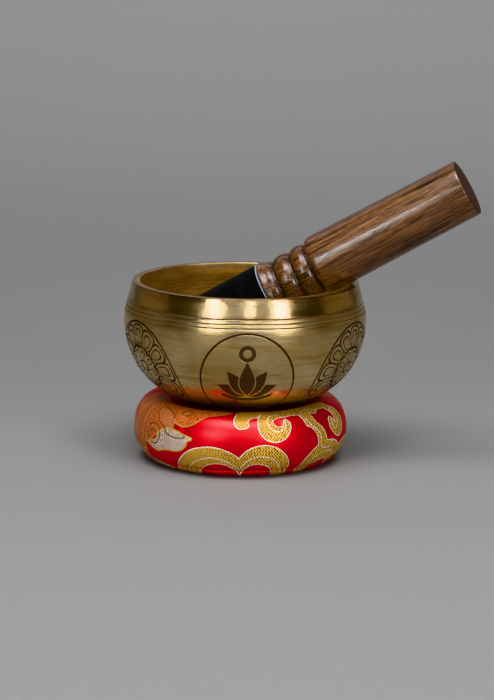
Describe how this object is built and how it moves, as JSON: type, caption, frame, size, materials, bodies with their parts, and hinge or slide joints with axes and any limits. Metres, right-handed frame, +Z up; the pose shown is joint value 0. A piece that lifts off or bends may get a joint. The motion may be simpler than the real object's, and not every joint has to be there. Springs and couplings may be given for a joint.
{
  "type": "singing bowl",
  "caption": "Round metal singing bowl with turned grooves, on a stuffed brocade ring cushion, with a turned wooden mallet sleeved in suede resting across its rim.",
  "frame": {"origin": "on the bowl's axis, on the flat underside of the cushion, level with the surface it stands on", "axes": "+Z up along the bowl's axis, -Y towards the viewer who has the mallet's handle on the right, +X to that viewer's right, about where the handle points"},
  "size_m": [0.1744, 0.12, 0.1516],
  "materials": {
    "brass": "turned and brushed, satin body with a polished shoulder band, dark etched medallions",
    "wood": "glossy lacquered dark hardwood with streaked grain",
    "suede": "black suede with a pale cut edge",
    "brocade": "red satin with woven gold scroll motifs",
    "wadding": "matt fibre wadding",
    "thread": "twisted sewing thread"
  },
  "bodies": {
    "cushion": {"cushion_upper_cover": "brocade", "cushion_lower_cover": "brocade", "cushion_filling": "wadding", "cushion_seam_thread": "thread"},
    "bowl": {"bowl": "brass"},
    "mallet": {"mallet_handle": "wood", "mallet_suede_sleeve": "suede"}
  },
  "joints": [
    {"name": "bowl_lift", "type": "slide", "parent": "cushion", "child": "bowl", "axis": [0, 0, 1], "range_m": [0, 0.06]},
    {"name": "mallet_draw", "type": "slide", "parent": "bowl", "child": "mallet", "axis": [0.8559, -0.1432, 0.497], "range_m": [0, 0.125]}
  ]
}
